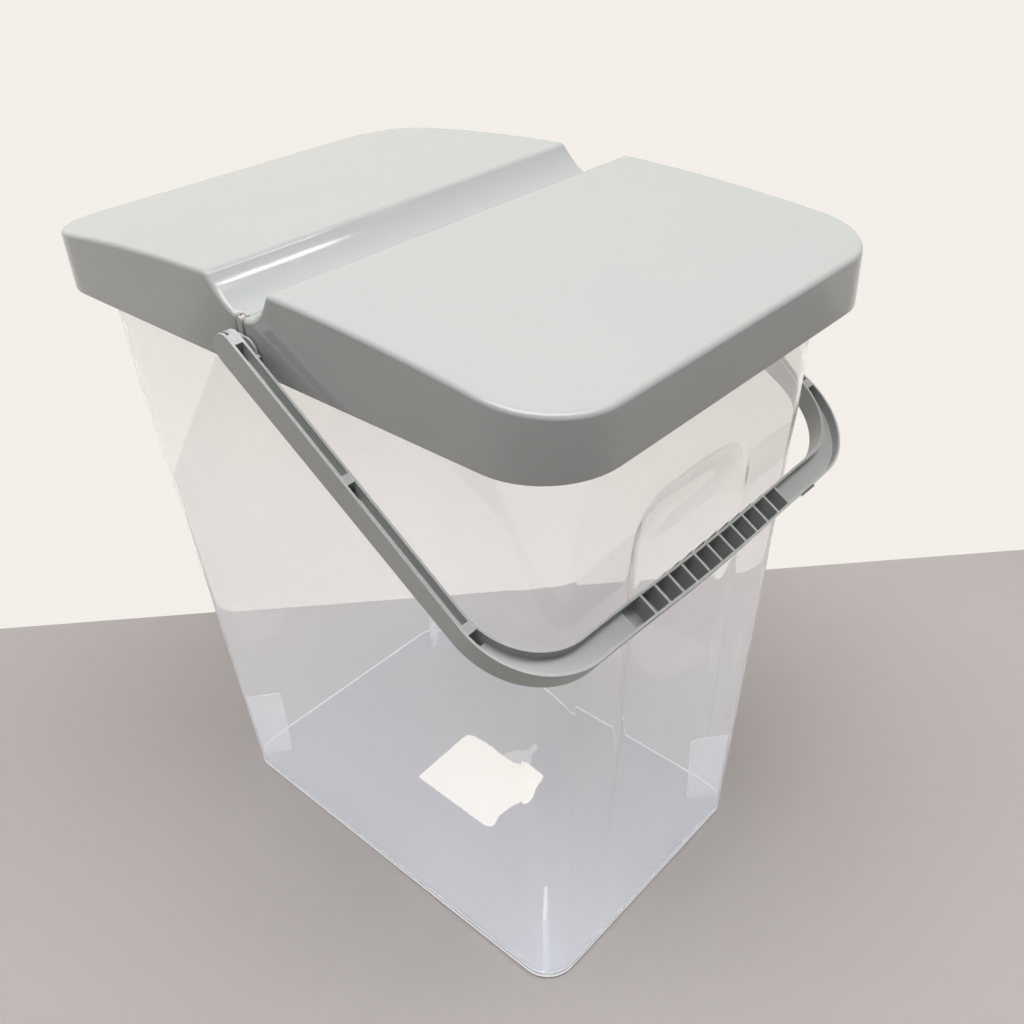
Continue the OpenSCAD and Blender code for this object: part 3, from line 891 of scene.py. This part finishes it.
# depth of the handle at a distance from the pivot: low and high level
def handleLevels(s, e):
    half = s["depthPivot"] / 2
    if e < 0:
        level = tipLevel(s, half, e)
        return -level, level
    share = min(1.0, e / (s["reach"] - s["radius"]))
    return (-half + (half - s["depthBar"] / 2 + s["barRise"]) * share,
            half + (s["depthBar"] / 2 + s["barRise"] - half) * share)


# one line of the handle, as (x, distance from the pivot), from the right arm's end round to the left one's;
# inset counts inwards from the outer face, and beyond counts outwards from the inner face
def handleLine(s, inset=0.0, beyond=None, start=None):
    half, reach, radius = s["halfWidth"] - inset, s["reach"] - inset, s["radius"] - inset
    if beyond is not None:
        half = s["halfWidth"] - s["armWidth"] + beyond
        reach = s["reach"] - s["barWidth"] + beyond
        radius = s["radius"] - s["armWidth"] + beyond
    bend = reach - radius
    lean = s["spread"] / (s["armEnd"] + bend)
    if start is None:
        tip = s["depthPivot"] / 2
        along = [-tip * math.cos(math.radians(turn)) for turn in s["tipTurns"]]
        start = 0
    else:
        along = [start]
    along += [start + (bend - start) * k / s["armSteps"] for k in range(1, s["armSteps"])]
    line = [(half + lean * (e + s["armEnd"]), e) for e in along]
    corner = half + s["spread"] - radius
    for k in range(s["arcSteps"] + 1):
        angle = math.radians(90 * k / s["arcSteps"])
        line.append((corner + radius * math.cos(angle), bend + radius * math.sin(angle)))
    for k in range(1, s["barSteps"] + 1):
        t = k / s["barSteps"]
        line.append((corner * (1 - t), reach + s["bow"] * (1 - math.cos(math.pi * t)) / 2))
    return line + [(-x, e) for x, e in reversed(line[:-1])]


# band of the handle between two lines; each ring runs low to high at the first line, then back at the second
def handleBand(s, first, second, levels=None):
    loops = []
    for (xa, ea), (xb, eb) in zip(first, second, strict=True):
        lowA, highA = levels or handleLevels(s, ea)
        lowB, highB = levels or handleLevels(s, eb)
        loops.append([(xa, -ea, lowA), (xa, -ea, highA), (xb, -eb, highB), (xb, -eb, lowB)])
    return loops


# plain block between two places across, two distances from the pivot and two levels
def handleBox(across, along, levels):
    return [[(x, -along[0], levels[0]), (x, -along[0], levels[1]), (x, -along[1], levels[1]),
             (x, -along[1], levels[0])] for x in across]


# a stretch of a line between two distances from the pivot, up to a place across, as evenly spaced points
def lineStretch(line, fromE, toE, sideX, count):
    hair, apart = 1e-6, 1e-4
    kept = []
    for (xa, ea), (xb, eb) in zip(line, line[1:]):
        cuts = [0.0, 1.0]
        for value, a, b in ((fromE, ea, eb), (toE, ea, eb), (sideX, xa, xb)):
            if (a - value) * (b - value) < 0:
                cuts.append((value - a) / (b - a))
        for t in sorted(cuts):
            x, e = xa + (xb - xa) * t, ea + (eb - ea) * t
            if fromE - hair <= e <= toE + hair and x >= sideX - hair:
                if not kept or (Vector((x, e)) - kept[-1]).length > apart:
                    kept.append(Vector((x, e)))
    run = [0.0]
    for a, b in zip(kept, kept[1:]):
        run.append(run[-1] + (b - a).length)
    points = []
    k = 0
    for i in range(count):
        want = run[-1] * i / (count - 1)
        while k < len(run) - 2 and run[k + 1] < want:
            k += 1
        t = (want - run[k]) / (run[k + 1] - run[k])
        points.append(kept[k].lerp(kept[k + 1], t))
    return points


# the web between the flanges of one half: high stretches, and deep pockets behind the eye and each block
def webRuns(s, sign, gripEdge):
    half = s["flange"] / 2
    outer, inner = handleLine(s, half, start=0), handleLine(s, beyond=half, start=0)
    starts = [s["eyeEnd"]] + [e + s["blockWide"] for e in s["armBlocks"]]
    ends = [start - s["blockWide"] / 2 for start in starts[1:]] + [2 * s["reach"]]
    runs = []
    for start, end in zip(starts, ends, strict=True):
        stop = start + s["pocket"]
        stretches = [(start, stop, s["deep"]), (stop, end, s["web"]),
                     (stop, stop + s["endWall"], (s["deep"][0], s["web"][0] + s["webOverlap"]))]
        for fromE, toE, levels in stretches:
            pair = [lineStretch(line, fromE, toE, gripEdge, s["webSteps"]) for line in (outer, inner)]
            runs.append(handleBand(s, *[[(sign * x, e) for x, e in line] for line in pair], levels))
    return runs


# everything at one arm's end, on the side that sign gives
def armEndRuns(s, sign):
    tip = s["depthPivot"] / 2 - s["shrink"]
    inner = s["halfWidth"] - s["armWidth"]

    def rounded(stations, across, radius):
        rings = []
        for e in stations:
            level = tipLevel(s, radius, min(e, 0))
            corners = ((across[0], -level), (across[0], level), (across[1], level), (across[1], -level))
            rings.append([(sign * x, -e, n) for x, n in corners])
        return rings

    eye = [-tip * math.cos(math.radians(turn)) for turn in s["tipTurns"]] + [s["eyeEnd"]]
    steps = s["joinSteps"]
    join = [s["grooveEnd"] * (1 - k / steps) for k in range(steps + 1)] + [s["eyeEnd"] - s["hair"]]
    runs = [rounded(eye, (inner + s["flange"] - s["overlap"], s["eyeOut"]), tip),
            rounded(join, (s["eyeOut"] - s["eyeOverlap"], s["halfWidth"] - s["flange"] + s["overlap"]),
                    tip - s["shrink"] / 2)]
    eyeR, loopR, middle, half = s["lugEye"], s["lugLoop"], s["lugMiddle"], s["lugHalf"]
    meet = (eyeR * eyeR + middle * middle - loopR * loopR) / (2 * middle)
    loopFrom, loopTo = math.asin(half / loopR), math.acos((meet - middle) / loopR)
    loopSteps, eyeSteps = s["lugSteps"]
    upper = [(s["lugEnd"], half)]
    for k in range(loopSteps + 1):
        angle = loopFrom + (loopTo - loopFrom) * k / loopSteps
        upper.append((middle + loopR * math.cos(angle), loopR * math.sin(angle)))
    eyeFrom = math.acos(meet / eyeR)
    for k in range(1, eyeSteps + 1):
        angle = eyeFrom + (math.pi - eyeFrom) * k / eyeSteps
        upper.append((eyeR * math.cos(angle), eyeR * math.sin(angle)))
    outline = upper + [(e, -n) for e, n in reversed(upper[:-1])]
    runs.append([[(sign * x, -e, n) for e, n in outline] for x in s["lug"]])
    across = (sign * s["lug"][0], sign * (inner + s["lugFoot"][0]))
    along = (s["lugEnd"] - s["lugFoot"][1], s["lugEnd"] - s["hair"])
    runs.append(handleBox(across, along, (-half + s["hair"], half - s["hair"])))
    return runs


# two flanges, then the webs, arms' ends and blocks of each side, then the grip's floor, end wall and ribs
def makeHandle(s):
    bm = bmesh.new()
    runs = [handleBand(s, handleLine(s), handleLine(s, s["flange"])),
            handleBand(s, handleLine(s, beyond=s["flange"]), handleLine(s, beyond=0.0))]
    gripHalf = s["ribPitch"] * (s["ribs"] - 1) / 2
    half = s["flange"] / 2
    for sign, gripEdge in ((1, gripHalf), (-1, gripHalf + s["ribPitch"])):
        runs += webRuns(s, sign, gripEdge)
        runs += armEndRuns(s, sign)
        for e in s["armBlocks"]:
            low, high = handleLevels(s, e)
            lean = s["spread"] * (e + s["armEnd"]) / (s["armEnd"] + s["reach"] - s["radius"])
            across = [sign * (s["halfWidth"] + lean - x) for x in (half, s["armWidth"] - half)]
            levels = (low + s["blockShort"], high - s["blockShort"])
            runs.append(handleBox(across, (e, e + s["blockWide"]), levels))
    low, high = handleLevels(s, s["reach"])
    near, far = s["reach"] - s["barWidth"] + half, s["reach"] + s["bow"] / 2 - half
    leftEnd = -gripHalf - s["ribPitch"]
    runs.append(handleBox((leftEnd, gripHalf), (near, far), s["deep"]))
    endLevels = (s["deep"][0], s["web"][1] - s["endShort"])
    runs.append(handleBox((leftEnd - s["endWall"], leftEnd), (near, far), endLevels))
    for i in range(s["ribs"]):
        x = i * s["ribPitch"] - gripHalf
        runs.append(handleBox((x - s["ribThick"] / 2, x + s["ribThick"] / 2), (near, far),
                              (low + s["ribShort"], high - s["ribShort"])))
    runs.append(handleBox(*s["nub"]))
    for loops in runs:
        loftLoops(bm, loops)
    bmesh.ops.recalc_face_normals(bm, faces=bm.faces)
    stand = Matrix.Translation((0, 0, s["pivotZ"] * mm)) @ Matrix.Rotation(math.radians(s["hang"]), 4, "X")
    bmesh.ops.transform(bm, matrix=stand, verts=bm.verts)
    piece = finishPiece(bm, "carryHandle", handlePlastic, "handle", ["carry_handle"],
                        s["sharp"])
    soft = piece.modifiers.new("softEdges", "BEVEL")
    soft.width = s["edge"] * mm
    soft.segments = 2
    soft.limit_method = "ANGLE"
    soft.angle_limit = math.radians(s["edgeFrom"])
    evenNormals(piece)


makeHandle(handleBuild)


# torn label on the bin's floor: corners in millimetres, round the outline
labelBuild = {
    "outline": ((-26.9, 27.1), (16.7, 28.5), (19.1, 23.3), (18, 0), (18, -9), (20.1, -15), (20.8, -29.7),
                (9.8, -31.1), (1.8, -34), (-7.3, -31.2), (-16.6, -30.1), (-25.2, -32.7), (-27.8, -29.6)),
    "scrap": ((18.4, 0.5), (30.3, -6), (35.6, -5.6), (36.7, -9), (32.8, -10.9), (27.7, -9.6),
              (23.4, -13.4), (20.5, -13.8), (18.4, -6.8)),
    "floorZ": 2.4,
    "lift": 0.01,
    "thick": 0.28,
    "scrapThick": 0.168,
    "tearStep": 1.1,
    "tear": 0.5,
    "tearDrift": 0.7,
    "seed": 3,
    "sharp": 30,
}


# outline with every edge torn a little inwards
def tornOutline(s, corners, seed):
    dice = random.Random(seed)
    points = []
    for i, corner in enumerate(corners):
        a, b = Vector(corner), Vector(corners[(i + 1) % len(corners)])
        along = b - a
        steps = max(2, round(along.length / s["tearStep"]))
        normal = Vector((along.y, -along.x)).normalized()
        drift = 0.0
        for k in range(steps):
            spread = math.sin(math.pi * k / steps)
            drift = s["tearDrift"] * drift + dice.uniform(-1, 1) * s["tear"] * spread
            points.append(a + along * k / steps - normal * abs(drift))
    return points


# the label and, in the second material, the thin scrap beside it
def makeLabel(s):
    bm = bmesh.new()
    for k, (corners, thick) in enumerate(((s["outline"], s["thick"]), (s["scrap"], s["scrapThick"]))):
        points = tornOutline(s, corners, s["seed"] + k)
        before = set(bm.faces)
        levels = (s["floorZ"] + s["lift"], s["floorZ"] + thick)
        loftLoops(bm, [[(x, y, z) for x, y in points] for z in levels])
        for face in set(bm.faces) - before:
            face.material_index = k
    bmesh.ops.recalc_face_normals(bm, faces=bm.faces)
    piece = finishPiece(bm, "tornLabel", tornPaper, "root", ["paper_remnant"], s["sharp"])
    piece.data.materials.append(thinPaper)


makeLabel(labelBuild)


hingeBuild = {
    "half": 102.6,
    "rear": -0.97,
    "front": -1.93,
    "low": 335.7,
    "high": 336.096,
    "dip": 0.02,
    "rows": 6,
}


# film between the two halves of the lid
def makeHingeFilm(s):
    bm = bmesh.new()
    loops = []
    for k in range(s["rows"] + 1):
        y = s["rear"] + (s["front"] - s["rear"]) * k / s["rows"]
        dip = s["dip"] * math.sin(math.pi * k / s["rows"])
        loops.append([(-s["half"], y, s["low"] - dip), (s["half"], y, s["low"] - dip),
                      (s["half"], y, s["high"] - dip), (-s["half"], y, s["high"] - dip)])
    loftLoops(bm, loops)
    bmesh.ops.recalc_face_normals(bm, faces=bm.faces)
    piece = newPiece(bm, "hingeFilm", lidPlastic)
    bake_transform(piece)
    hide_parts("living_hinge")


makeHingeFilm(hingeBuild)


# floor and wall of the studio: the wall is seen in one even colour, from its front side only
stageLook = {
    "floor": (0.41, 0.378, 0.373),
    "floorRough": 0.7,
    "floorSize": 4,
    "floorDrop": 0.0004,
    "wall": (0.90, 0.868, 0.81),
    "wallRough": 0.8,
    "wallSize": 3,
    "wallNormal": (0.690, 0.7238),
    "wallDistance": 0.180,
}


def stagePiece(name, material, size, matrix):
    bm = bmesh.new()
    bmesh.ops.create_grid(bm, x_segments=1, y_segments=1, size=size)
    bmesh.ops.transform(bm, matrix=matrix, verts=bm.verts)
    newPiece(bm, name, material)


# 1 for rays that show a surface to the camera: straight, mirrored or through plastic
def seenMask(tree):
    path = addNode(tree, "ShaderNodeLightPath")
    seen = addNode(tree, "ShaderNodeMath", operation="MAXIMUM")
    seenAll = addNode(tree, "ShaderNodeMath", operation="MAXIMUM")
    tree.links.new(path.outputs["Is Camera Ray"], seen.inputs[0])
    tree.links.new(path.outputs["Is Glossy Ray"], seen.inputs[1])
    tree.links.new(seen.outputs[0], seenAll.inputs[0])
    tree.links.new(path.outputs["Is Transmission Ray"], seenAll.inputs[1])
    return seenAll.outputs[0]


def makeStage(s):
    material, tree, shader = newMaterial("stageFloor")
    shader.inputs["Base Color"].default_value = (*s["floor"], 1)
    shader.inputs["Roughness"].default_value = s["floorRough"]
    stagePiece("stageFloor", material, s["floorSize"], Matrix.Translation((0, 0, -s["floorDrop"])))

    material, tree, shader = newMaterial("stageWall")
    shader.inputs["Base Color"].default_value = (*s["wall"], 1)
    shader.inputs["Roughness"].default_value = s["wallRough"]
    glow = addNode(tree, "ShaderNodeEmission", Color=(*s["wall"], 1))
    clear = addNode(tree, "ShaderNodeBsdfTransparent")
    face = mixShaders(tree, seenMask(tree), shader.outputs[0], glow.outputs[0])
    backfacing = addNode(tree, "ShaderNodeNewGeometry").outputs["Backfacing"]
    sided = mixShaders(tree, backfacing, face, clear.outputs[0])
    tree.links.new(sided, tree.nodes["Material Output"].inputs["Surface"])
    normal = Vector((*s["wallNormal"], 0)).normalized()
    stand = (-normal).to_track_quat("Z", "Y").to_matrix().to_4x4()
    stagePiece("stageWall", material, s["wallSize"], Matrix.Translation(normal * s["wallDistance"]) @ stand)


worldLook = {
    "soft": (1, 0.985, 0.96),
    "softStrength": 0.22,
    "seen": (0.96, 0.95, 0.93),
    "seenStrength": 1.0,
}


# faint soft light on the piece, and a pale backdrop wherever the world itself is seen
def makeWorld(s):
    world = bpy.data.worlds.new("studio")
    scene.world = world
    world.use_nodes = True
    tree = world.node_tree
    tree.nodes.clear()
    soft = addNode(tree, "ShaderNodeBackground", Color=(*s["soft"], 1), Strength=s["softStrength"])
    seen = addNode(tree, "ShaderNodeBackground", Color=(*s["seen"], 1), Strength=s["seenStrength"])
    mixed = mixShaders(tree, seenMask(tree), soft.outputs[0], seen.outputs[0])
    tree.links.new(mixed, addNode(tree, "ShaderNodeOutputWorld").inputs[0])


lamps = {
    "overhead": {"place": (0.12, 0.22, 2.1), "size": (2.3, 2.3), "power": 105, "aim": (0.05, 0.05, 0)},
    "side": {"place": (1.9, -0.45, 1.3), "size": (1.6, 1.2), "power": 66, "aim": (0, 0, 0.15)},
    "window": {"place": (0.875, -0.64, 1.60), "size": (0.36, 0.06), "power": 1.9, "aim": (0, 0, 0.33),
               "roll": -45.7},
}


def makeLamps(s):
    for name, lamp in s.items():
        data = bpy.data.lights.new(name, "AREA")
        data.energy = lamp["power"]
        data.shape = "RECTANGLE"
        data.size, data.size_y = lamp["size"]
        light = bpy.data.objects.new(name, data)
        scene.collection.objects.link(light)
        light.location = lamp["place"]
        aim = Vector(lamp["aim"]) - Vector(lamp["place"])
        roll = Quaternion((0, 0, 1), math.radians(lamp.get("roll", 0)))
        light.rotation_euler = (aim.to_track_quat("-Z", "Y") @ roll).to_euler()


makeStage(stageLook)
makeWorld(worldLook)
makeLamps(lamps)
print("stage made")
